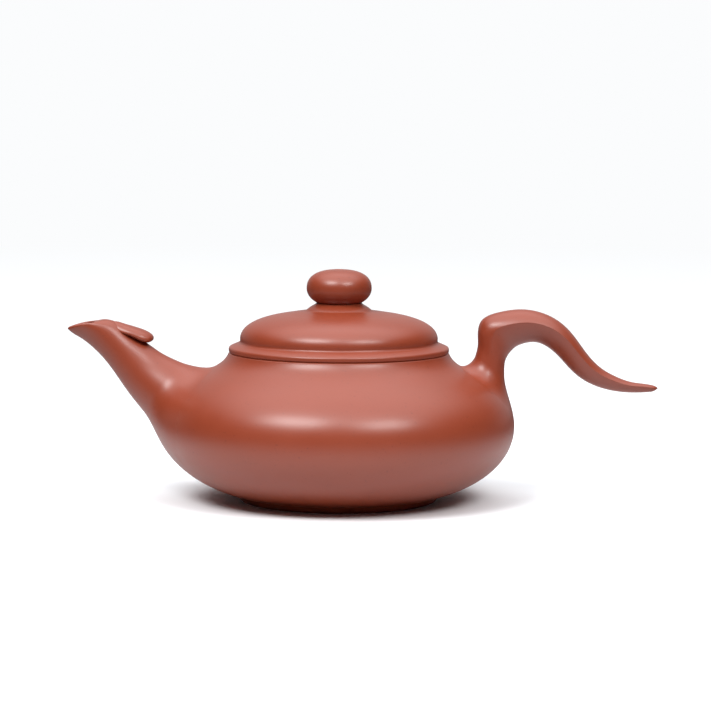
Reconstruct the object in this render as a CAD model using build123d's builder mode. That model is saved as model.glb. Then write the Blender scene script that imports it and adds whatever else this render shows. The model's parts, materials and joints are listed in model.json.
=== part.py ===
from build123d import *

import os
from math import cos, radians, sin

# A round clay teapot, built up from the separately formed pieces that a potter lutes together.
# Millimetres, +Z up. The origin is on the table, at the centre of the foot.
# The spout points to -X and the handle to +X, so the pot is symmetrical about the XZ plane.

# Body
body_radius = 55.0  # the belly at its widest
equator_height = 22.4  # where the belly is widest
rim_height = 46.5  # top of the neck, on which the lid rests
wall = 3.0  # thickness of the body's wall
foot_radius = 31.9  # outside of the foot ring, where it meets the belly
foot_height = 2.0
foot_width = 3.8  # width of the ring, at the belly
foot_draft = 1.4  # how much narrower the foot's outside is at the table
floor_lift = 1.0  # how far the base plate is pushed up at its centre
rim_width = 3.3  # width of the neck's rim, on which the lid's flange rests
edge_round = 0.5  # softened edges of the rim, the flange and the foot

# Lid
lid_radius = 34.4  # outside of the lid's flange
lid_clearance = 0.4  # between the lid's skirt and the mouth, all round
skirt_depth = 5.2  # how far the skirt reaches below the rim
skirt_wall = 2.8
flange_edge = 1.5  # thickness of the flange at its edge
flange_slope = 1.2  # how much the flange climbs towards the dome
flange_width = 3.6  # from the dome's foot to the flange's edge
dome_height = 10.1  # from the flange to the top of the dome
dome_wall = 2.6
collar_radius = 10.4
collar_height = 2.1
knob_radius = 10.15
knob_height = 11.0
knob_seat_radius = 7.1  # where the knob meets its collar
steam_hole_radius = 0.9
steam_well_radius = 1.6  # the wider lower part of the steam hole
steam_hole_length = 4.0  # of the narrow part

# Spout
spout_reach = 30.0  # from the widest part of the belly to the tip
spout_tip_rise = 7.0  # the tip above the rim, so that a full pot doesn't spill
crest_width = 9.4  # the folded crest behind the spout's mouth
strainer_radius = 8.6  # outside of the dome that covers the spout's opening
strainer_wall = 1.6
strainer_hole_radius = 0.8
strainer_tilt = 24.0  # degrees, how far the spout's opening faces up

# Handle
handle_reach = 44.8  # from the widest part of the belly to the end of the tail
handle_rise = 13.5  # the top of the arch above the rim
handle_width = 12.6  # at the ridge, on the arch
stem_width = 11.0

# Worked out from the sizes above
neck_radius = lid_radius - 0.1  # the rim and the flange finish almost flush
mouth_radius = neck_radius - rim_width  # the opening that the lid's skirt drops into
dome_radius = lid_radius - flange_width
shoulder_radius = neck_radius + 0.5 * (body_radius - neck_radius)
shoulder_height = equator_height + 0.67 * (rim_height - equator_height)
base_radius = foot_radius - wall / 2  # seam between the base plate and the belly wall
neck_seam_radius = neck_radius + wall  # seam between the shoulder plate and the neck ring
seat_height = equator_height + 0.25 * (rim_height - equator_height)  # centre of the spout's opening
belly_seam_height = seat_height - strainer_radius * cos(radians(strainer_tilt)) - 0.75 * wall
flange_top = rim_height + flange_edge + flange_slope
skirt_radius = mouth_radius - lid_clearance
skirt_bore = skirt_radius - skirt_wall
dome_top = flange_top + dome_height
knob_bottom = dome_top + collar_height
knob_middle = knob_bottom + 0.47 * knob_height
knob_top = knob_bottom + knob_height
spout_rise = rim_height + spout_tip_rise - equator_height
stem_radius = neck_radius + 0.65 * (body_radius - neck_radius)

os.makedirs("parts", exist_ok=True)


def keep(name, piece):
    """Labels a finished piece and writes it as its own file."""
    piece.part.label = name
    export_step(piece.part, f"parts/{name}.step")


# ---- The body of revolution: base, belly, shoulder, neck and foot


def belly_line(inset, rim_radius):
    """Draws half of the belly from foot to rim, moved in by inset. Returns its two ends."""
    start = (foot_radius, foot_height + inset)
    widest = (body_radius - inset, equator_height)
    shoulder = (shoulder_radius - 0.6 * inset, shoulder_height - 0.8 * inset)
    rim = (rim_radius, rim_height)
    low_rise = widest[1] - start[1]
    high_rise = shoulder[1] - widest[1]
    neck_run = shoulder[0] - rim[0]
    neck_rise = rim[1] - shoulder[1]
    Bezier(
        start,
        (start[0] + 0.39 * (widest[0] - start[0]), start[1] + 0.11 * low_rise),
        (widest[0] - 0.075 * 0.59 * low_rise, start[1] + 0.41 * low_rise),
        widest,
    )
    Bezier(
        widest,
        (widest[0] + 0.075 * 0.53 * high_rise, widest[1] + 0.53 * high_rise),
        (shoulder[0] + 0.5 * (widest[0] - shoulder[0]), shoulder[1] - 0.2 * high_rise),
        shoulder,
    )
    Bezier(
        shoulder,
        (rim[0] + 0.51 * neck_run, shoulder[1] + 0.37 * neck_rise),
        (rim[0] + 0.16 * neck_run, shoulder[1] + 0.47 * neck_rise),
        rim,
    )
    return start, rim


def belly_face(inset, rim_radius, mode=Mode.ADD):
    """Half of the closed shape inside belly_line, down to the foot ring's top."""
    with BuildLine() as outline:
        start, rim = belly_line(inset, rim_radius)
        Polyline(rim, (0, rim_height), (0, start[1]), start)
    make_face(outline.edges(), mode=mode)


def wall_section():
    """Half of the body's wall, from the middle of the base to the rim."""
    belly_face(0, neck_radius)
    belly_face(wall, mouth_radius, Mode.SUBTRACT)


def zone(inner, outer, low, high, mode=Mode.INTERSECT):
    """Keeps, or cuts away, the part of a half section between two radii and two heights."""
    with Locations(((inner + outer) / 2, (low + high) / 2)):
        Rectangle(outer - inner, high - low, mode=mode)


beyond = 2 * (body_radius + rim_height)  # larger than any section

with BuildPart() as pot_form:
    with BuildSketch(Plane.YZ):
        belly_face(0, neck_radius)
    revolve(axis=Axis.Z)

# The round opening behind the spout, which the strainer fills
spout_seat = Plane(
    origin=(-(body_radius - 1.45 * wall), 0, seat_height),
    x_dir=(0, 1, 0),
    z_dir=(-cos(radians(strainer_tilt)), 0, sin(radians(strainer_tilt))),
)

with BuildPart() as base_plate:
    with BuildSketch(Plane.XZ):
        wall_section()
        zone(0, base_radius, 0, equator_height)
    revolve(axis=Axis.Z)
    with BuildSketch(Plane.XZ):
        hollow_radius = base_radius - foot_width
        with BuildLine():
            Bezier(
                (hollow_radius, foot_height),
                (0.7 * hollow_radius, foot_height + 0.9 * floor_lift),
                (0.4 * hollow_radius, foot_height + floor_lift),
                (0, foot_height + floor_lift),
            )
            Polyline(
                (0, foot_height + floor_lift),
                (0, foot_height - 1),
                (hollow_radius, foot_height - 1),
                (hollow_radius, foot_height),
            )
        make_face()
    revolve(axis=Axis.Z, mode=Mode.SUBTRACT)
keep("base_plate", base_plate)

with BuildPart() as foot_ring:
    with BuildSketch(Plane.XZ):
        with BuildLine():
            Polyline(
                (foot_radius, foot_height),
                (foot_radius - foot_draft, 0),
                (foot_radius - foot_width + 0.4, 0),
                (foot_radius - foot_width, foot_height),
                close=True,
            )
        make_face()
    revolve(axis=Axis.Z)
    fillet(foot_ring.edges().group_by(Axis.Z)[0], radius=edge_round)
keep("foot_ring", foot_ring)

with BuildPart() as belly_lower:
    with BuildSketch(Plane.XZ):
        wall_section()
        zone(base_radius, beyond, 0, belly_seam_height)
    revolve(axis=Axis.Z)
keep("belly_lower", belly_lower)

with BuildPart() as belly_upper:
    with BuildSketch(Plane.XZ):
        wall_section()
        zone(base_radius, beyond, belly_seam_height, beyond)
        zone(0, shoulder_radius, equator_height, beyond, Mode.SUBTRACT)
    revolve(axis=Axis.Z)
    with BuildSketch(spout_seat):
        Circle(strainer_radius)
    extrude(amount=3 * wall, both=True, mode=Mode.SUBTRACT)
keep("belly_upper", belly_upper)

with BuildPart() as shoulder_plate:
    with BuildSketch(Plane.XZ):
        wall_section()
        zone(neck_seam_radius, shoulder_radius, equator_height, beyond)
    revolve(axis=Axis.Z)
    # on a flatter pot the spout's opening reaches the shoulder too
    with BuildSketch(spout_seat):
        Circle(strainer_radius)
    extrude(amount=3 * wall, both=True, mode=Mode.SUBTRACT)
keep("shoulder_plate", shoulder_plate)

with BuildPart() as neck_ring:
    with BuildSketch(Plane.XZ):
        wall_section()
        zone(0, neck_seam_radius, equator_height, beyond)
    revolve(axis=Axis.Z)
    fillet(neck_ring.edges().group_by(Axis.Z)[-1], radius=edge_round)
keep("neck_ring", neck_ring)

# ---- Strainer: a pierced dome that bulges into the pot

with BuildPart() as strainer_form:
    with BuildSketch(Plane.XZ):
        with BuildLine():
            CenterArc((0, 0), strainer_radius, 180, 90)
            Line((0, -strainer_radius), (0, strainer_wall - strainer_radius))
            CenterArc((0, 0), strainer_radius - strainer_wall, 270, -90)
            Polyline(
                (strainer_wall - strainer_radius, 0),
                (strainer_wall - strainer_radius, 0.45 * wall),
                (-strainer_radius, 0.45 * wall),
                (-strainer_radius, 0),
            )
        make_face()
    revolve(axis=Axis.Z)
    for ring, (lean, count) in enumerate([(0, 1), (24, 6), (46, 12), (67, 16)]):
        for step in range(count):
            turn = 360 * (step + 0.5 * (ring % 2)) / count
            with Locations(Location((0, 0, 0), (0, 0, turn)) * Location((0, 0, 0), (180 - lean, 0, 0))):
                Cylinder(
                    strainer_hole_radius,
                    strainer_radius + strainer_wall,
                    align=(Align.CENTER, Align.CENTER, Align.MIN),
                    mode=Mode.SUBTRACT,
                )

with BuildPart() as strainer:
    add(spout_seat.location * strainer_form.part)
    add(pot_form.part, mode=Mode.INTERSECT)
keep("strainer", strainer)

# ---- Spout, crest and handle: lofts through closed sections


def section(under, over, width, split=0.5, pinch=0.03):
    """Draws one section from its under point to its over point, both (x, z), and its full width.

    split is how far below the over point the widest line lies, and pinch sharpens that line.
    It's never 0, which keeps the upper and lower faces of a loft apart.
    """
    across = Vector(over[0] - under[0], 0, over[1] - under[1])
    length = across.length
    middle = Vector(over[0], 0, over[1]) - across * split
    plane = Plane(origin=middle, x_dir=(0, 1, 0), z_dir=Vector(0, 1, 0).cross(across))
    half = width / 2
    grip = half * (1 - pinch)
    top = 4 / 3 * length * split
    bottom = -4 / 3 * length * (1 - split)
    with BuildSketch(plane) as sketch:
        with BuildLine():
            Bezier((-half, 0), (-grip, top), (grip, top), (half, 0))
            Bezier((half, 0), (grip, bottom), (-grip, bottom), (-half, 0))
        make_face()
    return sketch.sketch


def spout_point(out, up):
    """A point of the spout: out and up run from 0 at the belly's widest line to 1 at the tip."""
    return (-(body_radius + out * spout_reach), equator_height + up * spout_rise)


def handle_point(out, up):
    """A point of the handle.

    out runs from 0 at the stem to 1 at the tail's end, and up from 0 at the rim to 1 at the top.
    """
    reach = body_radius + handle_reach - stem_radius
    return (stem_radius + out * reach, rim_height + up * handle_rise)


# under point, over point, width
spout_sections = [
    ((-0.42, -0.40), (-0.72, 0.50), 32.0),
    ((-0.14, -0.34), (-0.54, 0.60), 31.0),
    ((0.035, -0.08), (-0.37, 0.61), 25.5),
    ((0.20, 0.175), (-0.18, 0.66), 20.0),
    ((0.35, 0.365), (0.01, 0.745), 16.0),
    ((0.487, 0.55), (0.19, 0.86), 13.0),
    ((0.62, 0.725), (0.39, 1.00), 11.2),
    ((0.768, 0.852), (0.60, 1.11), 9.8),
    ((0.89, 0.93), (0.82, 1.14), 6.6),
    ((0.99, 0.995), (0.975, 1.08), 1.6),
]
channel_sections = [
    ((-0.16, -0.05), (-0.46, 0.41), 16.4),
    ((0.0, -0.015), (-0.28, 0.43), 16.4),
    ((0.14, 0.21), (-0.11, 0.535), 13.6),
    ((0.30, 0.42), (0.075, 0.665), 11.0),
    ((0.435, 0.60), (0.25, 0.79), 8.8),
    ((0.575, 0.77), (0.43, 0.94), 7.4),
    ((0.725, 0.905), (0.63, 1.12), 6.6),
    ((0.85, 0.995), (0.83, 1.25), 4.6),
    ((0.94, 1.055), (0.94, 1.27), 2.2),
]
mouth_front = spout_point(1.02, 1.015)
mouth_back = spout_point(0.50, 1.132)

with BuildPart() as spout_form:
    loft([section(spout_point(*a), spout_point(*b), width) for a, b, width in spout_sections])
    # the slanted cut that opens the mouth
    with BuildSketch(Plane.XZ):
        with BuildLine():
            Polyline(
                mouth_front,
                mouth_back,
                (mouth_back[0], mouth_back[1] + spout_reach),
                (mouth_front[0], mouth_back[1] + spout_reach),
                close=True,
            )
        make_face()
    extrude(amount=spout_reach, both=True, mode=Mode.SUBTRACT)

with BuildPart() as channel_form:
    loft([section(spout_point(*a), spout_point(*b), width) for a, b, width in channel_sections])

with BuildPart() as spout:
    add(spout_form.part)
    add(pot_form.part, mode=Mode.SUBTRACT)
    add(channel_form.part, mode=Mode.SUBTRACT)
keep("spout", spout)

# under point, over point, width as a share of the crest's
crest_sections = [
    ((0.64, 1.04), (0.62, 1.096), 0.30),
    ((0.52, 0.98), (0.49, 1.085), 0.80),
    ((0.37, 0.91), (0.33, 1.035), 1.00),
    ((0.22, 0.84), (0.175, 0.985), 0.96),
    ((0.125, 0.83), (0.105, 0.94), 0.62),
]
with BuildPart() as spout_crest:
    loft([section(spout_point(*a), spout_point(*b), w * crest_width) for a, b, w in crest_sections])
    add(spout_form.part, mode=Mode.SUBTRACT)
keep("spout_crest", spout_crest)

# under point, over point, width, split, pinch
handle_sections = [
    ((0.044, -1.333), (-0.215, -0.74), 17.0, 0.5, 0.03),
    ((0.086, -0.837), (-0.152, -0.415), 14.0, 0.5, 0.03),
    ((0.077, -0.50), (-0.104, -0.14), 12.0, 0.5, 0.03),
    ((0.075, -0.25), (-0.085, 0.17), stem_width, 0.5, 0.03),
    ((0.095, -0.05), (-0.085, 0.47), stem_width, 0.5, 0.05),
    ((0.125, 0.08), (-0.068, 0.74), 11.8, 0.42, 0.12),
    ((0.165, 0.18), (0.056, 0.95), 12.4, 0.36, 0.20),
    ((0.225, 0.25), (0.205, 1.0), handle_width, 0.34, 0.25),
    ((0.30, 0.21), (0.36, 0.835), handle_width - 0.2, 0.32, 0.25),
    ((0.39, -0.03), (0.475, 0.48), 11.4, 0.27, 0.25),
    ((0.475, -0.385), (0.567, 0.015), 10.0, 0.26, 0.25),
    ((0.57, -0.665), (0.648, -0.31), 8.8, 0.26, 0.25),
    ((0.695, -0.845), (0.735, -0.515), 7.0, 0.26, 0.25),
    ((0.83, -0.91), (0.845, -0.665), 4.8, 0.25, 0.20),
    ((0.935, -0.905), (0.945, -0.72), 3.0, 0.3, 0.10),
    ((0.997, -0.83), (0.999, -0.78), 0.8, 0.5, 0.03),
]
with BuildPart() as handle:
    loft([section(handle_point(*a), handle_point(*b), *shape) for a, b, *shape in handle_sections])
    add(pot_form.part, mode=Mode.SUBTRACT)
keep("handle", handle)

# ---- Lid


def dome_line(inset):
    """Draws half of the dome, from the flange to its top, moved in by inset."""
    edge = (dome_radius - inset, flange_top)
    turn = (0.55 * dome_radius - 0.3 * inset, flange_top + 0.87 * dome_height - inset)
    top = (0, dome_top - inset)
    rise = turn[1] - edge[1]
    Bezier(
        edge,
        (edge[0] + 0.5, edge[1] + 0.59 * rise),
        (turn[0] + 0.60 * (edge[0] - turn[0]), turn[1] - 0.13 * rise),
        turn,
    )
    Bezier(turn, (0.65 * turn[0], turn[1] + 0.6 * (top[1] - turn[1])), (0.3 * turn[0], top[1]), top)
    return edge, top


def dome_face(inset, mode=Mode.ADD):
    """Half of the closed shape under dome_line."""
    with BuildLine() as outline:
        edge, top = dome_line(inset)
        Polyline(top, (0, flange_top), edge)
    make_face(outline.edges(), mode=mode)


def steam_well():
    """Cuts the wider, lower part of the steam hole through the current piece."""
    with Locations((0, 0, knob_top - steam_hole_length)):
        Cylinder(
            steam_well_radius,
            knob_top,
            align=(Align.CENTER, Align.CENTER, Align.MAX),
            mode=Mode.SUBTRACT,
        )


with BuildPart() as lid_plate:
    with BuildSketch(Plane.XZ):
        with BuildLine():
            Polyline(
                (skirt_bore, rim_height),
                (lid_radius, rim_height),
                (lid_radius, rim_height + flange_edge),
                (dome_radius, flange_top),
                (skirt_bore, flange_top),
                close=True,
            )
        make_face()
    revolve(axis=Axis.Z)
    fillet(lid_plate.edges().filter_by(GeomType.CIRCLE).group_by(SortBy.RADIUS)[-1], edge_round)
keep("lid_plate", lid_plate)

with BuildPart() as lid_skirt:
    with BuildSketch(Plane.XZ):
        zone(skirt_bore, skirt_radius, rim_height - skirt_depth, rim_height, Mode.ADD)
    revolve(axis=Axis.Z)
    fillet(lid_skirt.edges().group_by(Axis.Z)[0], radius=2 * edge_round)
keep("lid_skirt", lid_skirt)

with BuildPart() as dome_form:
    with BuildSketch(Plane.XZ):
        dome_face(0)
    revolve(axis=Axis.Z)

with BuildPart() as lid_dome:
    with BuildSketch(Plane.XZ):
        dome_face(0)
        dome_face(dome_wall, Mode.SUBTRACT)
    revolve(axis=Axis.Z)
    steam_well()
keep("lid_dome", lid_dome)

with BuildPart() as knob_collar:
    with BuildSketch(Plane.XZ):
        with BuildLine():
            Spline(
                (collar_radius + 0.8, dome_top - 0.3 * dome_wall),
                (collar_radius, dome_top + 0.25 * collar_height),
                (0.5 * (collar_radius + knob_seat_radius) + 0.5, dome_top + 0.75 * collar_height),
                (knob_seat_radius, knob_bottom),
            )
            Polyline(
                (knob_seat_radius, knob_bottom),
                (0, knob_bottom),
                (0, dome_top - 0.3 * dome_wall),
                (collar_radius + 0.8, dome_top - 0.3 * dome_wall),
            )
        make_face()
    revolve(axis=Axis.Z)
    add(dome_form.part, mode=Mode.SUBTRACT)
    steam_well()
keep("knob_collar", knob_collar)

with BuildPart() as knob:
    with BuildSketch(Plane.XZ):
        low = knob_middle - knob_bottom
        high = knob_top - knob_middle
        with BuildLine():
            Bezier(
                (knob_seat_radius, knob_bottom),
                (0.86 * knob_radius, knob_bottom + 0.24 * low),
                (knob_radius, knob_bottom + 0.57 * low),
                (knob_radius, knob_middle),
            )
            Bezier(
                (knob_radius, knob_middle),
                (knob_radius, knob_middle + 0.6 * high),
                (0.62 * knob_radius, knob_top),
                (0, knob_top),
            )
            Polyline((0, knob_top), (0, knob_bottom), (knob_seat_radius, knob_bottom))
        make_face()
    revolve(axis=Axis.Z)
    Cylinder(steam_hole_radius, 2 * knob_top, mode=Mode.SUBTRACT)
    steam_well()
keep("knob", knob)
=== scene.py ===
import json
import math

import bmesh
import bpy
import numpy as np
from mathutils import Matrix, Vector

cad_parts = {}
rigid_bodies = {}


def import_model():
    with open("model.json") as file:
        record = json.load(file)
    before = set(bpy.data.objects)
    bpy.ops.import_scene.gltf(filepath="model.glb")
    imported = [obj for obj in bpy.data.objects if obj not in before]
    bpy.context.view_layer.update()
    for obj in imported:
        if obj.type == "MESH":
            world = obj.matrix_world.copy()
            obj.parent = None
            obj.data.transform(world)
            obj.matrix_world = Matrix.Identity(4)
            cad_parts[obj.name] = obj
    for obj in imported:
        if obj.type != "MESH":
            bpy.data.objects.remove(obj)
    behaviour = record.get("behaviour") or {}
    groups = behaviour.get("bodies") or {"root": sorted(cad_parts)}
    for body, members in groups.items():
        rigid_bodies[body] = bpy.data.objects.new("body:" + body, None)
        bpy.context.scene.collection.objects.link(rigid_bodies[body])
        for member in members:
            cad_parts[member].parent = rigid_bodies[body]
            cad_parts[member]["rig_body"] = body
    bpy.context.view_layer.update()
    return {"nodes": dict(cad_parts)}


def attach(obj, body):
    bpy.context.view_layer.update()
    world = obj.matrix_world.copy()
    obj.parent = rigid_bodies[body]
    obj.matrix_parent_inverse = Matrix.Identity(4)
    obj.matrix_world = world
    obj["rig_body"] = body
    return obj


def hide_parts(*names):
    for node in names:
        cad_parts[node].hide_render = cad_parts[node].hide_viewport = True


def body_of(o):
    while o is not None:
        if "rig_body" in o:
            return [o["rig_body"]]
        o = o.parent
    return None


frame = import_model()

mm = 0.001  # sizes below are in millimetres, Blender works in metres
roundSteps = 160  # segments round the pot and the lid
print("frame loaded:", sorted(frame["nodes"]))


def selectNone():
    if bpy.context.object and bpy.context.object.mode != "OBJECT":
        bpy.ops.object.mode_set(mode="OBJECT")
    bpy.ops.object.select_all(action="DESELECT")


def smoothRun(a, b, c, d, steps):
    # points along one smooth run from a to d, closer together at its two ends
    points = []
    for i in range(steps + 1):
        t = 0.5 - 0.5 * math.cos(math.pi * i / steps)
        s = 1 - t
        pulled = Vector(b) * 3 * t * s * s + Vector(c) * 3 * t * t * s
        points.append(Vector(a) * s**3 + pulled + Vector(d) * t**3)
    return points


def roundedCorner(before, corner, after, size, steps=5):
    # a soft corner in a half outline
    start = Vector(corner) + (Vector(before) - Vector(corner)).normalized() * size
    end = Vector(corner) + (Vector(after) - Vector(corner)).normalized() * size
    return smoothRun(start, start.lerp(Vector(corner), 0.55), end.lerp(Vector(corner), 0.55), end, steps)


def finishPiece(piece, name, nodes, body, angle=40):
    # welds, points the faces outwards, smooths, and hands the piece to its body
    selectNone()
    piece.name = piece.data.name = name
    bpy.context.view_layer.objects.active = piece
    piece.select_set(True)
    bpy.ops.object.mode_set(mode="EDIT")
    bpy.ops.mesh.select_all(action="SELECT")
    bpy.ops.mesh.remove_doubles(threshold=0.004 * mm)
    bpy.ops.mesh.normals_make_consistent(inside=False)
    bpy.ops.object.mode_set(mode="OBJECT")
    bpy.ops.object.shade_smooth_by_angle(angle=math.radians(angle))
    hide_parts(*nodes)
    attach(piece, body)
    pieces[name] = piece
    return piece


pieces = {}


def turnedPiece(outline):
    # spins a half outline of (radius, height) once round the pot's axis
    selectNone()
    bpy.ops.mesh.primitive_plane_add(size=mm, location=(0, 0, 0))
    piece = bpy.context.object
    bpy.ops.object.mode_set(mode="EDIT")
    bpy.ops.mesh.select_all(action="SELECT")
    bpy.ops.mesh.merge(type="CENTER")
    bpy.ops.transform.translate(value=(outline[0][0] * mm, 0, outline[0][1] * mm))
    for near, far in zip(outline, outline[1:] + outline[:1]):
        bpy.ops.mesh.extrude_vertices_move(
            TRANSFORM_OT_translate={"value": ((far[0] - near[0]) * mm, 0, (far[1] - near[1]) * mm)}
        )
    bpy.ops.mesh.select_all(action="SELECT")
    bpy.ops.mesh.remove_doubles(threshold=0.0005 * mm)
    bpy.ops.mesh.select_all(action="SELECT")
    bpy.ops.mesh.spin(steps=roundSteps, angle=2 * math.pi, center=(0, 0, 0), axis=(0, 0, 1))
    bpy.ops.object.mode_set(mode="OBJECT")
    return piece


def ringedPiece(rings, closed):
    # a tube, extruded ring by ring, each new ring set into its own shape
    selectNone()
    bpy.ops.mesh.primitive_circle_add(vertices=len(rings[0]), radius=mm, location=(0, 0, 0))
    piece = bpy.context.object
    bpy.ops.object.mode_set(mode="EDIT")
    bpy.ops.mesh.select_all(action="SELECT")
    for step, ring in enumerate(rings):
        if step:
            bpy.ops.mesh.extrude_edges_move()
        shape = bmesh.from_edit_mesh(piece.data)
        shape.verts.ensure_lookup_table()
        for corner, place in zip(shape.verts[-len(ring):], ring):
            corner.co = place * mm
    bpy.ops.mesh.select_all(action="DESELECT")
    bpy.ops.mesh.select_non_manifold(
        extend=False, use_wire=False, use_multi_face=False, use_non_contiguous=False, use_verts=False
    )
    if closed:
        bpy.ops.mesh.bridge_edge_loops()
    else:
        bpy.ops.mesh.fill_holes(sides=0)
    bpy.ops.object.mode_set(mode="OBJECT")
    return piece


def curveThrough(rows):
    # a smooth curve through rows of numbers, as a function of 0..1
    # 0..1 follows the distance between the rows' first four numbers
    rows = np.array(rows, float)
    gaps = np.linalg.norm(np.diff(rows[:, :4], axis=0), axis=1)
    at = np.concatenate([[0], np.cumsum(gaps)]) / gaps.sum()
    n = len(rows)
    step = np.diff(at)
    slope = np.diff(rows, axis=0) / step[:, None]
    system = np.eye(n)
    right = np.zeros_like(rows)
    for i in range(1, n - 1):
        system[i, i - 1], system[i, i], system[i, i + 1] = step[i - 1], 2 * (step[i - 1] + step[i]), step[i]
        right[i] = 6 * (slope[i] - slope[i - 1])
    bend = np.linalg.solve(system, right)

    def value(t):
        i = int(np.clip(np.searchsorted(at, t) - 1, 0, n - 2))
        a, b, h = t - at[i], at[i + 1] - t, step[i]
        return (
            bend[i] * b**3 / (6 * h)
            + bend[i + 1] * a**3 / (6 * h)
            + (rows[i] / h - bend[i] * h / 6) * b
            + (rows[i + 1] / h - bend[i + 1] * h / 6) * a
        )

    return value


# the pot's wall is one outline from the foot to the rim, cut into three pieces
potWall = {
    "foot": (31.9, 2.0),
    "footPull": (40.9, 4.2),
    "widePullLow": (54.05, 10.4),
    "widest": (54.95, 22.4),
    "widePullHigh": (55.6, 31.0),
    "shoulderPullLow": (49.8, 35.3),
    "shoulder": (44.55, 38.5),
    "shoulderPullHigh": (39.6, 41.5),
    "rimPull": (35.95, 42.3),
    "rim": (34.3, 46.5),
    "neckSeam": 0.62,  # how far along the last run the neck ring starts
    "thickness": 3.0,
    "baseSeam": 30.4,
    "footJoint": 2.0,  # height of the foot ring's top
    "floor": 5.0,
    "lipWidth": 3.3,
    "edgeSoft": 0.55,
}

w = potWall
wallRuns = [
    (w["foot"], w["footPull"], w["widePullLow"], w["widest"]),
    (w["widest"], w["widePullHigh"], w["shoulderPullLow"], w["shoulder"]),
    (w["shoulder"], w["shoulderPullHigh"], w["rimPull"], w["rim"]),
]


def wallPoint(run, t, depth=0.0):
    a, b, c, d = (Vector(p) for p in wallRuns[run])
    s = 1 - t
    place = a * s**3 + b * 3 * t * s * s + c * 3 * t * t * s + d * t**3
    along = ((b - a) * s * s + (c - b) * 2 * t * s + (d - c) * t * t).normalized()
    return place + Vector((-along.y, along.x)) * depth


def wallLine(run, start, end, depth, steps):
    shares = [0.5 - 0.5 * math.cos(math.pi * i / steps) for i in range(steps + 1)]
    return [wallPoint(run, start + (end - start) * share, depth) for share in shares]


def joined(*runs):
    line = []
    for run in runs:
        line += [tuple(p) for p in run if not line or (Vector(p) - Vector(line[-1])).length > 0.002]
    if (Vector(line[0]) - Vector(line[-1])).length < 0.002:
        line.pop()
    return line


thick = w["thickness"]
seamT = w["neckSeam"]

belly = turnedPiece(
    joined(
        [(w["baseSeam"], w["footJoint"])],
        wallLine(0, 0, 1, 0, 44),
        wallLine(1, 0, 1, 0, 34),
        wallLine(1, 1, 0, thick, 24),
        wallLine(0, 1, 0.06, thick, 30),
        [(w["baseSeam"], w["floor"])],
    )
)
shoulder = turnedPiece(joined(wallLine(2, 0, seamT, 0, 22), wallLine(2, seamT, 0, thick, 16)))
neckTop = w["rim"][1]
innerRim = w["rim"][0] - w["lipWidth"]
outerEdge = roundedCorner(wallPoint(2, 0.9), w["rim"], (innerRim, neckTop), w["edgeSoft"])
innerEdge = roundedCorner(w["rim"], (innerRim, neckTop), (innerRim, neckTop - 3), w["edgeSoft"])
neck = turnedPiece(
    joined(
        wallLine(2, seamT, 0.955, 0, 16),
        outerEdge,
        innerEdge,
        [(innerRim, neckTop - 1.6)],
        wallLine(2, 0.8, seamT, thick, 10),
    )
)

# the foot: a low turned ring, softened where it meets the table
foot = {"outer": 31.75, "edge": 30.5, "inner": 28.4, "top": 2.05, "soft": 0.55}
footEdge = roundedCorner((foot["outer"], foot["top"]), (foot["edge"], 0), (foot["inner"], 0), foot["soft"])
footTop = (foot["inner"] - 0.3, foot["top"])
footInner = roundedCorner((foot["edge"], 0), (foot["inner"], 0), footTop, foot["soft"])
footRing = turnedPiece(joined([(foot["outer"], foot["top"])], footEdge, footInner, [footTop]))

base = {"lift": 1.0, "hollow": 26.6}
baseTop = w["footJoint"] + base["lift"]
basePlate = turnedPiece(
    joined(
        [(0, baseTop)],
        smoothRun((0.001, baseTop), (11, baseTop), (19, 2.9), (base["hollow"], w["footJoint"]), 16),
        [(w["baseSeam"], w["footJoint"]), (w["baseSeam"], w["floor"])],
        smoothRun((w["baseSeam"], w["floor"]), (22, 4.9), (10, 4.8), (0.001, 4.8), 12),
        [(0, 4.8)],
    )
)
print("wall, foot and base turned")

# where the wall's surface lies, for what is luted on to it
wallSamples = [wallPoint(run, i / 400) for run in range(3) for i in range(400)] + [Vector(w["rim"])]
wallLengths = [0.0]
for near, far in zip(wallSamples, wallSamples[1:]):
    wallLengths.append(wallLengths[-1] + (far - near).length)


def wallAt(length):
    # the wall's outline at a length from the foot: place and direction, as (radius, height)
    length = min(max(length, 0.0), wallLengths[-1] - 1e-6)
    i = max(k for k, total in enumerate(wallLengths) if total <= length)
    i = min(i, len(wallSamples) - 2)
    share = (length - wallLengths[i]) / (wallLengths[i + 1] - wallLengths[i])
    along = (wallSamples[i + 1] - wallSamples[i]).normalized()
    return wallSamples[i].lerp(wallSamples[i + 1], share), along


def lengthAtHeight(height):
    i = max(k for k, p in enumerate(wallSamples) if p.y <= height)
    i = min(i, len(wallSamples) - 2)
    share = (height - wallSamples[i].y) / (wallSamples[i + 1].y - wallSamples[i].y)
    return wallLengths[i] + share * (wallLengths[i + 1] - wallLengths[i])


def onWall(length, turn, side, depth=0.0):
    # a place on the wall and the outward direction there; side is -1 at the spout and +1 at the handle
    (radius, height), (outward, upward) = wallAt(length)
    out = Vector((side * math.cos(turn), math.sin(turn), 0))
    normal = out * upward - Vector((0, 0, 1)) * outward
    return out * radius + Vector((0, 0, height)) - normal * depth, normal


def wallPlace(place, side):
    # the other way round: how far up the wall, how far round and how far outside it a point lies
    flat = Vector((math.hypot(place.x, place.y), place.z))
    best = None
    for i, (near, far) in enumerate(zip(wallSamples, wallSamples[1:])):
        run = far - near
        share = min(max((flat - near).dot(run) / run.length_squared, 0.0), 1.0)
        gap = flat - near - run * share
        if best is None or gap.length < best[0]:
            best = (gap.length, wallLengths[i] + share * run.length, gap.dot(Vector((run.y, -run.x))) > 0)
    return Vector((best[1], math.atan2(place.y, side * place.x), best[0] if best[2] else -best[0]))


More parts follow.
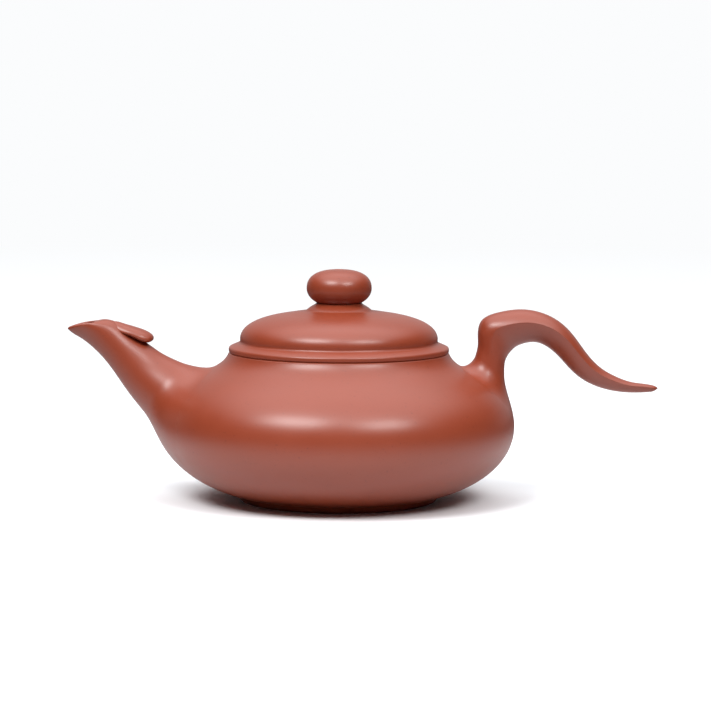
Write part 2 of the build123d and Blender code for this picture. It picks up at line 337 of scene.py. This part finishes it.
def rootRings(lastRing, ringBefore, root, side, steps):
    # carries a tube's last ring on to the wall, worked out as length up it, way round it and height off it
    rings = [[] for _ in range(steps)]
    count = len(lastRing)

    def spread(place):
        length, turn, height = wallPlace(place, side)
        return Vector((length, turn * root["radius"], height))

    for j, (start, before) in enumerate(zip(lastRing, ringBefore)):
        turn = 2 * math.pi * j / count
        upper = 0.5 - 0.5 * math.cos(turn)
        a = spread(start)
        leave = (a - spread(before)).normalized()
        swing = root["turn"] * root["radius"] * math.sin(turn)
        d = Vector((root["middle"] - root["half"] * math.cos(turn), swing, 0))
        reach = (d - a).length
        arrive = Vector((a.x - d.x, a.y - d.y, 0)).normalized()
        pull = reach * (root["pullLow"] + (root["pullHigh"] - root["pullLow"]) * upper)
        if leave.z < 0:  # so that it doesn't dip under the wall
            pull = min(pull, 0.85 * a.z / -leave.z)
        b = a + leave * pull
        c = d + arrive * reach * (root["restLow"] + (root["restHigh"] - root["restLow"]) * upper)
        c.z = root["liftHigh"] * upper**2
        for i in range(steps):
            t = (i + 1) / steps
            s = 1 - t
            on = a * s**3 + b * 3 * t * s * s + c * 3 * t * t * s + d * t**3
            height = on.z if i < steps - 1 else -0.02
            rings[i].append(onWall(on.x, on.y / root["radius"], side, -height)[0])
    return rings


# each row: lower point x, z, upper point x, z, half width, how pointed the lower end is,
# and how far the sides bow up
spout = {
    "rows": [
        (-84.68, 53.3, -74.5, 55.95, 5.2, 0.85, 0.3),
        (-83.4, 52.15, -73.7, 56.3, 5.25, 0.75, 0.27),
        (-81.1, 50.75, -72.1, 56.3, 5.35, 0.6, 0.2),
        (-77.6, 48.2, -69.3, 55.45, 5.4, 0.35, 0.1),
        (-72.6, 43.1, -64.9, 52.1, 5.8, 0.12, 0.0),
        (-68.95, 38.1, -60.4, 49.3, 6.5, 0.0, 0.0),
        (-65.75, 33.5, -55.8, 46.1, 7.7, 0.0, 0.0),
        (-61.4, 28.0, -50.3, 43.35, 9.6, 0.0, 0.0),
    ],
    "around": 64,
    "rings": 64,
    "lip": 1.9,
    "lipRise": 0.6,
    "wall": 2.0,
    "root": {
        "middle": 33.5, "half": 27.0, "turn": math.radians(28), "radius": 50,
        "pullLow": 0.42, "pullHigh": 0.3, "restLow": 0.6, "restHigh": 0.3,
        "liftHigh": 0.0,
    },
}


def ovalRing(row, count, inset=0.0, rise=0.0):
    # one ring of the spout, starting at its lower point
    lower, upper = Vector((row[0], 0, row[1])), Vector((row[2], 0, row[3]))
    across = (upper - lower).normalized()
    up = Vector((-across.z, 0, across.x))
    half = (upper - lower).length / 2 - inset
    middle = (lower + upper) / 2
    ring = []
    for j in range(count):
        turn = 2 * math.pi * j / count
        narrow = math.sin(turn / 2) ** max(row[5], 0.0)
        bow = up * row[6] * math.sin(turn) ** 2
        lift = up * rise * math.cos(turn / 2) ** 2
        side = Vector((0, (row[4] - inset) * math.sin(turn) * narrow, 0))
        ring.append(middle + lift + bow - across * half * math.cos(turn) + side)
    return ring


spoutLine = curveThrough(spout["rows"])
outerRings = [ovalRing(spoutLine(i / (spout["rings"] - 1)), spout["around"]) for i in range(spout["rings"])]
rootOut = rootRings(outerRings[-1], outerRings[-3], spout["root"], -1, 36)
rimRow = spoutLine(0)
lipRings = [
    ovalRing(rimRow, spout["around"], spout["lip"] * share, spout["lipRise"] * rise)
    for share, rise in [(0.93, 0.45), (0.75, 0.85), (0.5, 1.0), (0.25, 0.85), (0.07, 0.45)]
]
innerRings = [
    ovalRing(spoutLine(i / 30), spout["around"], spout["lip"] * 0.97 if i < 4 else spout["wall"])
    for i in range(30, -1, -1)
]
# inside the wall the spout narrows from its root to the strainer's opening
seat = {"height": 28.6, "radius": 8.45, "wallRadius": 54, "rootShrink": 0.93}
seatLength = lengthAtHeight(seat["height"])
buried = []
for share, depth in [(0.0, 1.4), (0.5, 1.8), (1.0, 0.9)]:
    ring = []
    for j in range(spout["around"]):
        turn = 2 * math.pi * j / spout["around"]
        root = spout["root"]
        rootLength = root["middle"] - root["half"] * seat["rootShrink"] * math.cos(turn)
        rootSwing = root["turn"] * seat["rootShrink"] * math.sin(turn)
        openLength = seatLength - seat["radius"] * math.cos(turn)
        openSwing = seat["radius"] / seat["wallRadius"] * math.sin(turn)
        length = rootLength * (1 - share) + openLength * share
        swing = rootSwing * (1 - share) + openSwing * share
        ring.append(onWall(length, swing, -1, depth)[0])
    buried.append(ring)
spoutPiece = ringedPiece([*lipRings, *outerRings, *rootOut, *buried, *innerRings], closed=True)
print("spout drawn")

# each row: inner point x, z, outer point x, z, half width, share above the ridge, crease of the ridge
handle = {
    "rows": [
        (99.7, 35.45, 99.75, 35.75, 0.25, 0.5, 0.0),
        (98.9, 34.85, 99.2, 36.15, 0.95, 0.42, 0.1),
        (97.0, 34.38, 97.4, 36.7, 1.7, 0.3, 0.3),
        (91.0, 34.2, 91.7, 37.5, 2.8, 0.26, 0.42),
        (84.0, 35.1, 86.0, 39.55, 3.7, 0.26, 0.45),
        (77.5, 37.5, 81.5, 42.3, 4.5, 0.26, 0.45),
        (72.5, 41.3, 77.3, 46.7, 5.2, 0.27, 0.45),
        (68.0, 46.1, 72.5, 53.0, 5.8, 0.29, 0.45),
        (63.5, 49.3, 66.5, 57.8, 6.2, 0.32, 0.45),
        (59.5, 49.85, 58.3, 60.1, 6.35, 0.34, 0.45),
        (56.3, 48.95, 50.5, 59.35, 6.3, 0.34, 0.4),
        (54.2, 47.5, 44.4, 56.5, 6.0, 0.37, 0.2),
        (52.7, 45.6, 43.35, 52.8, 5.7, 0.45, 0.05),
        (51.8, 42.8, 43.35, 48.6, 5.5, 0.5, 0.0),
        (51.75, 40.2, 42.75, 45.9, 5.6, 0.5, 0.0),
    ],
    "half": 28,
    "rings": 96,
    "root": {
        "middle": 48.85, "half": 12.5, "turn": math.radians(14.5), "radius": 46,
        "pullLow": 0.35, "pullHigh": 0.4, "restLow": 0.4, "restHigh": 0.35,
        "liftHigh": 0.35,
    },
}


def ridgedRing(row, count):
    # one ring of the handle, starting in the middle of its inner side
    inner, outer = Vector((row[0], 0, row[1])), Vector((row[2], 0, row[3]))
    across = outer - inner
    ridge = outer - across * row[5]
    over, under = across * row[5] * 4 / 3, -across * (1 - row[5]) * 4 / 3
    side = Vector((0, row[4], 0))
    grip = side * (1 - row[6])
    ring = []
    for pull in (under, over):
        start, end = (1, -1) if pull is over else (-1, 1)
        for i in range(count):
            t = 0.5 - 0.5 * math.cos(math.pi * i / count)
            s = 1 - t
            ring.append(
                ridge
                + side * start * s**3
                + (grip * start + pull) * 3 * t * s * s
                + (grip * end + pull) * 3 * t * t * s
                + side * end * t**3
            )
    return ring[count // 2:] + ring[:count // 2]


handleLine = curveThrough(handle["rows"])
handleShares = [i / (handle["rings"] - 1) for i in range(handle["rings"])]
handleRings = [ridgedRing(handleLine(share), handle["half"]) for share in handleShares]
rootUp = rootRings(handleRings[-1], handleRings[-3], handle["root"], 1, 30)
rootIn = []
for shrink, depth in [(0.9, 1.2), (0.5, 1.8)]:
    ring = []
    for j in range(2 * handle["half"]):
        turn = math.pi * j / handle["half"]
        root = handle["root"]
        length = root["middle"] - root["half"] * shrink * math.cos(turn)
        ring.append(onWall(length, root["turn"] * shrink * math.sin(turn), 1, depth)[0])
    rootIn.append(ring)
handlePiece = ringedPiece([*handleRings, *rootUp, *rootIn], closed=False)
print("handle drawn")

# the crest lies behind the spout's mouth
# each row: lower edge x, z, top x, z, half width
crest = {
    "rows": [
        (-72.3, 53.6, -71.6, 55.7, 1.6),
        (-70.4, 52.8, -69.4, 55.75, 2.8),
        (-68.6, 52.1, -67.4, 55.2, 3.7),
        (-66.2, 51.6, -64.9, 54.45, 4.5),
        (-63.7, 50.6, -62.3, 53.65, 4.9),
        (-61.8, 49.7, -60.1, 52.8, 4.9),
        (-60.2, 49.25, -58.8, 52.05, 4.4),
        (-59.0, 49.35, -58.1, 51.4, 3.5),
        (-58.3, 49.7, -57.85, 50.8, 2.0),
        (-58.0, 50.0, -57.85, 50.3, 0.6),
    ],
    "around": 40,
    "rings": 48,
}


def lobeRing(row, count):
    # one ring of the crest: a high round back over a flatter underside
    lower, upper = Vector((row[0], 0, row[1])), Vector((row[2], 0, row[3]))
    across = upper - lower
    ring = []
    for j in range(count):
        turn = 2 * math.pi * j / count
        rise = math.sin(turn)
        wide = math.cos(turn)
        up = 0.28 + 0.72 * rise if rise > 0 else 0.28 + 0.28 * rise
        ring.append(lower + across * up + Vector((0, -row[4] * math.copysign(abs(wide) ** 0.9, wide), 0)))
    return ring


crestLine = curveThrough(crest["rows"])
crestRings = [lobeRing(crestLine(i / (crest["rings"] - 1)), crest["around"]) for i in range(crest["rings"])]
crestPiece = ringedPiece(crestRings, closed=False)
print("crest drawn")

flange = {"under": 46.5, "edge": 34.4, "edgeTop": 48.05, "top": 49.4, "dome": 31.2, "bore": 27.8}
under = flange["under"]
underEdge = roundedCorner((flange["bore"], under), (flange["edge"], under), (flange["edge"], 48.0), 0.5)
flangeEdge = (flange["edge"], flange["edgeTop"])
upperEdge = roundedCorner((flange["edge"], 46.9), flangeEdge, (flange["dome"], flange["top"]), 0.45)
lidPlate = turnedPiece(
    joined(
        [(flange["bore"], under)],
        underEdge,
        upperEdge,
        [(flange["dome"] + 0.4, 49.26), (flange["dome"], flange["top"]), (flange["bore"], flange["top"])],
    )
)
skirt = {"radius": 30.6, "bottom": 41.3, "soft": 0.9}
skirtTop = [(skirt["radius"], under), (flange["bore"], under)]
skirtFoot = [(skirt["radius"], skirt["bottom"]), (flange["bore"], skirt["bottom"])]
skirtEdges = [
    roundedCorner(skirtTop[0], skirtFoot[0], skirtFoot[1], skirt["soft"]),
    roundedCorner(skirtFoot[0], skirtFoot[1], skirtTop[1], skirt["soft"]),
]
lidSkirt = turnedPiece(joined([skirtTop[0]], *skirtEdges, [skirtTop[1]]))

dome = {
    "foot": (31.4, 49.33),
    "side": (30.85, 50.2),
    "turn": (17.0, 58.45),
    "top": (11.6, 59.3),
    "well": 1.6,  # radius of the steam hole's wider, lower part
}
lidDome = turnedPiece(
    joined(
        smoothRun(dome["foot"], (31.05, 49.45), (30.8, 49.75), dome["side"], 6),
        smoothRun(dome["side"], (31.3, 54.5), (25.8, 57.2), dome["turn"], 36),
        smoothRun(dome["turn"], (14.8, 58.83), (13.2, 59.1), dome["top"], 8),
        [(9.0, 59.0), (dome["well"], 59.0), (dome["well"], 56.4)],
        smoothRun((dome["well"], 56.4), (10, 56.4), (13, 56.0), (16.4, 55.4), 10),
        smoothRun((16.4, 55.4), (23.4, 54.3), (28.4, 52.5), (28.2, 49.3), 20),
    )
)
collar = turnedPiece(
    joined(
        smoothRun((11.8, 59.27), (11.0, 59.37), (10.4, 59.45), (10.05, 59.8), 8),
        smoothRun((10.05, 59.8), (9.7, 60.15), (9.1, 60.6), (8.4, 61.0), 12),
        smoothRun((8.4, 61.0), (7.9, 61.3), (7.4, 61.5), (7.1, 61.9), 8),
        [(dome["well"], 61.9), (dome["well"], 59.0), (9.0, 59.0)],
    )
)
knob = {
    "radius": 10.15,
    "middle": 66.5,
    "rise": 5.85,
    "seat": 7.1,
    "hole": 0.9,
    "flatTop": (0.78, 0.86),  # under 1 makes the bun squarer: across, then up
    "flatBottom": (0.86, 0.96),
    "startAngle": -61,
    "sweep": 145.5,
    "steps": 63,
}
knobSide = []
for i in range(knob["steps"] + 1):
    angle = math.radians(knob["startAngle"] + knob["sweep"] * i / knob["steps"])
    flat = knob["flatTop"] if angle > 0 else knob["flatBottom"]
    knobSide.append(
        (
            knob["radius"] * math.cos(angle) ** flat[0],
            knob["middle"] + knob["rise"] * math.copysign(abs(math.sin(angle)) ** flat[1], math.sin(angle)),
        )
    )
knobTop = knobSide[-1]
holeEdge = smoothRun(
    knobTop,
    (knobTop[0] - 0.35, knobTop[1] + 0.005),
    (knob["hole"], knobTop[1] - 0.1),
    (knob["hole"], knobTop[1] - 0.7),
    6,
)
knobPiece = turnedPiece(
    joined(
        [(dome["well"], 61.5), (knob["seat"] - 0.35, 61.5)],
        knobSide,
        holeEdge,
        [(knob["hole"], 68.0), (dome["well"], 67.6)],
    )
)
print("lid turned")

# the pierced strainer keeps its CAD shape, welded and smoothed
selectNone()
strainer = frame["nodes"]["strainer"].copy()
strainer.data = strainer.data.copy()
strainer.parent = None
for key in list(strainer.keys()):
    del strainer[key]
bpy.context.scene.collection.objects.link(strainer)

# the round hole for the strainer in the wall behind the spout
opening = {"place": (-50.65, 0, 28.425), "radius": 8.6, "depth": 18, "tilt": math.radians(24)}
selectNone()
bpy.ops.mesh.primitive_cylinder_add(
    vertices=96,
    radius=opening["radius"] * mm,
    depth=opening["depth"] * mm,
    location=Vector(opening["place"]) * mm,
    rotation=(0, -math.pi / 2 + opening["tilt"], 0),
)
drill = bpy.context.object
cut = belly.modifiers.new("strainerHole", "BOOLEAN")
cut.operation, cut.solver, cut.object = "DIFFERENCE", "EXACT", drill
selectNone()
bpy.context.view_layer.objects.active = belly
belly.select_set(True)
bpy.ops.object.modifier_apply(modifier=cut.name)
bpy.data.objects.remove(drill)

for piece, name, node, body, slotName, angle in [
    (belly, "bellyWall", "belly_lower belly_upper", "pot", "body_clay", 40),
    (shoulder, "shoulderPlate", "shoulder_plate", "pot", "body_clay", 40),
    (neck, "neckRing", "neck_ring", "pot", "body_clay", 50),
    (footRing, "footRing", "foot_ring", "pot", "body_clay", 50),
    (basePlate, "basePlate", "base_plate", "pot", "body_clay", 40),
    (spoutPiece, "spoutTube", "spout", "pot", "body_clay", 60),
    (crestPiece, "spoutCrest", "spout_crest", "pot", "body_clay", 80),
    (handlePiece, "handleLoop", "handle", "pot", "body_clay", 70),
    (strainer, "strainerDome", "strainer", "pot", "body_clay", 35),
    (lidPlate, "lidPlate", "lid_plate", "lid", "lid_clay", 50),
    (lidDome, "lidDome", "lid_dome", "lid", "lid_clay", 50),
    (lidSkirt, "lidSkirt", "lid_skirt", "lid", "lid_clay", 50),
    (collar, "knobCollar", "knob_collar", "lid", "lid_clay", 50),
    (knobPiece, "knobBun", "knob", "lid", "lid_clay", 50),
]:
    finishPiece(piece, name, node.split(), body, angle)
print("pieces finished:", {name: len(piece.data.polygons) for name, piece in pieces.items()})


def hexColour(code):
    # sRGB hex to linear
    channels = [int(code[i:i + 2], 16) / 255 for i in (0, 2, 4)]
    return (*[c / 12.92 if c <= 0.04045 else ((c + 0.055) / 1.055) ** 2.4 for c in channels], 1)


def addNode(tree, kind, settings=(), links=()):
    # one node with its settings, and links from (node, output) into its inputs
    node = tree.nodes.new(kind)
    for key, value in dict(settings).items():
        if isinstance(key, int) or key in node.inputs:
            node.inputs[key].default_value = value
        else:
            setattr(node, key, value)
    for key, (source, output) in dict(links).items():
        tree.links.new(source.outputs[output], node.inputs[key])
    return node


clay = {
    "colour": "8c3a21",
    "shade": "86371f",
    "speck": "6e2917",
    "grain": 0.35,  # mm
    "speckSize": 0.9,  # mm
    "roughness": 0.37,
}


def burnishedClay(name, drift):
    # fine iron-rich stoneware, unglazed, burnished with a horn tool before one firing: an even satin skin
    material = bpy.data.materials.new(name)
    material.use_nodes = True
    tree = material.node_tree
    tree.nodes.clear()
    out = addNode(tree, "ShaderNodeOutputMaterial")
    shader = addNode(tree, "ShaderNodeBsdfPrincipled", {"IOR": 1.61, "Metallic": 0.0})
    tree.links.new(shader.outputs[0], out.inputs[0])
    place = addNode(tree, "ShaderNodeTexCoord")
    shifted = addNode(tree, "ShaderNodeVectorMath", {"operation": "ADD", 1: drift}, {0: (place, "Object")})
    at = {"Vector": (shifted, 0)}
    cloud = addNode(tree, "ShaderNodeTexNoise", {"Scale": 90.0, "Detail": 4.0, "Roughness": 0.55}, at)
    grainLook = {"Scale": 1 / (clay["grain"] * mm), "Detail": 3.0, "Roughness": 0.6}
    grain = addNode(tree, "ShaderNodeTexNoise", grainLook, at)
    speckle = addNode(tree, "ShaderNodeTexNoise", {"Scale": 1 / (clay["speckSize"] * mm), "Detail": 1.0}, at)
    tintLook = {"data_type": "RGBA", 6: hexColour(clay["shade"]), 7: hexColour(clay["colour"])}
    tint = addNode(tree, "ShaderNodeMix", tintLook, {0: (cloud, 0)})
    rareLook = {"From Min": 0.66, "From Max": 0.78, "To Min": 0.0, "To Max": 0.5}
    rare = addNode(tree, "ShaderNodeMapRange", rareLook, {"Value": (speckle, 0)})
    skinLook = {"data_type": "RGBA", 7: hexColour(clay["speck"])}
    skin = addNode(tree, "ShaderNodeMix", skinLook, {0: (rare, 0), 6: (tint, 2)})
    tree.links.new(skin.outputs[2], shader.inputs["Base Color"])
    roughLook = {"To Min": clay["roughness"] - 0.03, "To Max": clay["roughness"] + 0.05}
    rough = addNode(tree, "ShaderNodeMapRange", roughLook, {"Value": (cloud, 0)})
    tree.links.new(rough.outputs[0], shader.inputs["Roughness"])
    bumpLook = {"Strength": 0.06, "Distance": 0.02 * mm}
    bump = addNode(tree, "ShaderNodeBump", bumpLook, {"Height": (grain, 0)})
    tree.links.new(bump.outputs[0], shader.inputs["Normal"])
    return material


bodyClay = burnishedClay("burnishedClayBody", (0, 0, 0))
lidClay = burnishedClay("burnishedClayLid", (0.3, 0.1, 0.2))
for name, piece in pieces.items():
    piece.data.materials.clear()
    piece.data.materials.append(lidClay if body_of(piece) == ["lid"] else bodyClay)
print("clay applied")

selectNone()
bpy.ops.mesh.primitive_plane_add(size=60, location=(0, 0, 0))
floor = bpy.context.object
floor.name = "floor"
floorLook = {
    "seen": "f3f5f7",
    "near": "dcdddf",  # what the clay is given to mirror close by: a paler grey than the camera sees, painted shade
    "away": "4a4a4c",  # and further off: painted dark, shade standing in for a dim studio beyond
    "darkens": (0.085, 0.22),  # metres from the pot's middle
    "fades": (0.25, 1.2),
}
studioWhite = "fbfcfd"
floorPaint = bpy.data.materials.new("whiteFloorPaintedShade")
floorPaint.use_nodes = True
tree = floorPaint.node_tree
floorShader = tree.nodes["Principled BSDF"]
floorShader.inputs["Roughness"].default_value = 0.9
floorShader.inputs["Specular IOR Level"].default_value = 0.1
# white all over for the camera, but for reflected and bounced light it is painted shade: pale grey near the
# pot and dark further off, so away from the pot it gives the clay little to mirror
place = addNode(tree, "ShaderNodeTexCoord")
reach = addNode(tree, "ShaderNodeVectorMath", {"operation": "LENGTH"}, {0: (place, "Object")})
gap = {"From Min": floorLook["darkens"][0], "From Max": floorLook["darkens"][1]}
past = addNode(tree, "ShaderNodeMapRange", gap, {"Value": (reach, "Value")})
paintedShadeColours = {"data_type": "RGBA", 6: hexColour(floorLook["near"]), 7: hexColour(floorLook["away"])}
paintedShadeSheet = addNode(tree, "ShaderNodeMix", paintedShadeColours, {0: (past, 0)})
ray = addNode(tree, "ShaderNodeLightPath")
seenLook = {"data_type": "RGBA", 7: hexColour(floorLook["seen"])}
shown = addNode(tree, "ShaderNodeMix", seenLook, {0: (ray, "Is Camera Ray"), 6: (paintedShadeSheet, 2)})
tree.links.new(shown.outputs[2], floorShader.inputs["Base Color"])
# further off it fades into the white of the studio
fadeGap = {"From Min": floorLook["fades"][0], "From Max": floorLook["fades"][1]}
far = addNode(tree, "ShaderNodeMapRange", fadeGap, {"Value": (reach, "Value")})
fade = addNode(tree, "ShaderNodeMath", {"operation": "MULTIPLY"}, {0: (far, 0), 1: (ray, "Is Camera Ray")})
haze = addNode(tree, "ShaderNodeEmission", {"Color": hexColour(studioWhite), "Strength": 1.0})
either = addNode(tree, "ShaderNodeMixShader", {}, {0: (fade, 0), 1: (floorShader, 0), 2: (haze, 0)})
tree.links.new(either.outputs[0], tree.nodes["Material Output"].inputs["Surface"])
floor.data.materials.append(floorPaint)

# the camera sees the studio nearly white; its light comes from above and, less, from behind the pot
world = bpy.data.worlds.new("whiteStudio")
bpy.context.scene.world = world
world.use_nodes = True
tree = world.node_tree
tree.nodes.clear()
heading = addNode(tree, "ShaderNodeTexCoord")
parts = addNode(tree, "ShaderNodeSeparateXYZ", {}, {0: (heading, "Generated")})
behindLook = {"From Min": 0.45, "From Max": 0.95, "To Min": 0.03, "To Max": 0.6}
behind = addNode(tree, "ShaderNodeMapRange", behindLook, {"Value": (parts, "Y")})
ceilingLook = {"From Min": 0.6, "From Max": 0.85, "To Min": 0.0, "To Max": 2.0}
ceiling = addNode(tree, "ShaderNodeMapRange", ceilingLook, {"Value": (parts, "Z")})
glow = addNode(tree, "ShaderNodeMath", {"operation": "ADD"}, {0: (behind, 0), 1: (ceiling, 0)})
lit = addNode(tree, "ShaderNodeBackground", {"Color": hexColour("fcfdff")}, {"Strength": (glow, 0)})
seen = addNode(tree, "ShaderNodeBackground", {"Color": hexColour(studioWhite), "Strength": 1.0})
ray = addNode(tree, "ShaderNodeLightPath")
either = addNode(tree, "ShaderNodeMixShader", {}, {0: (ray, "Is Camera Ray"), 1: (lit, 0), 2: (seen, 0)})
addNode(tree, "ShaderNodeOutputWorld", {}, {"Surface": (either, 0)})


def softbox(name, heading, rise, distance, size, power):
    # heading in degrees from straight ahead of the pot, towards the handle; rise above the table
    turn, lift = math.radians(heading), math.radians(rise)
    light = bpy.data.lights.new(name, "AREA")
    light.shape, light.size, light.size_y, light.energy = "RECTANGLE", size[0], size[1], power
    lamp = bpy.data.objects.new(name, light)
    bpy.context.scene.collection.objects.link(lamp)
    toLamp = Vector((math.sin(turn) * math.cos(lift), -math.cos(turn) * math.cos(lift), math.sin(lift)))
    lamp.location = toLamp * distance + Vector((0, 0, 0.03))
    lamp.rotation_euler = toLamp.to_track_quat("Z", "Y").to_euler()
    lamp.visible_camera = False
    return lamp


softbox("leftSoftbox", -36, 48, 1.2, (0.6, 0.38), 11.0)
softbox("rightSoftbox", 35, 42, 1.2, (0.52, 0.34), 7.0)

view = {"distance": 1.0, "rise": 5.8, "roll": 0.3, "target": (0.0052, 0.0, 0.0454), "lens": 162.0253}
rise, roll = math.radians(view["rise"]), math.radians(view["roll"])
back = Vector((0, -math.cos(rise), math.sin(rise)))
right = Vector((1, 0, 0))
up = Vector((0, math.sin(rise), math.cos(rise)))
turnedRight = right * math.cos(roll) + up * math.sin(roll)
turnedUp = up * math.cos(roll) - right * math.sin(roll)
camera = bpy.data.objects.new("camera", bpy.data.cameras.new("camera"))
bpy.context.scene.collection.objects.link(camera)
camera.data.lens = view["lens"]
camera.data.sensor_width = 36
camera.data.clip_start, camera.data.clip_end = 0.01, 20
camera.matrix_world = Matrix((turnedRight, turnedUp, back)).transposed().to_4x4()
camera.location = Vector(view["target"]) + back * view["distance"]
bpy.context.scene.camera = camera
bpy.context.scene.view_settings.view_transform = "Standard"
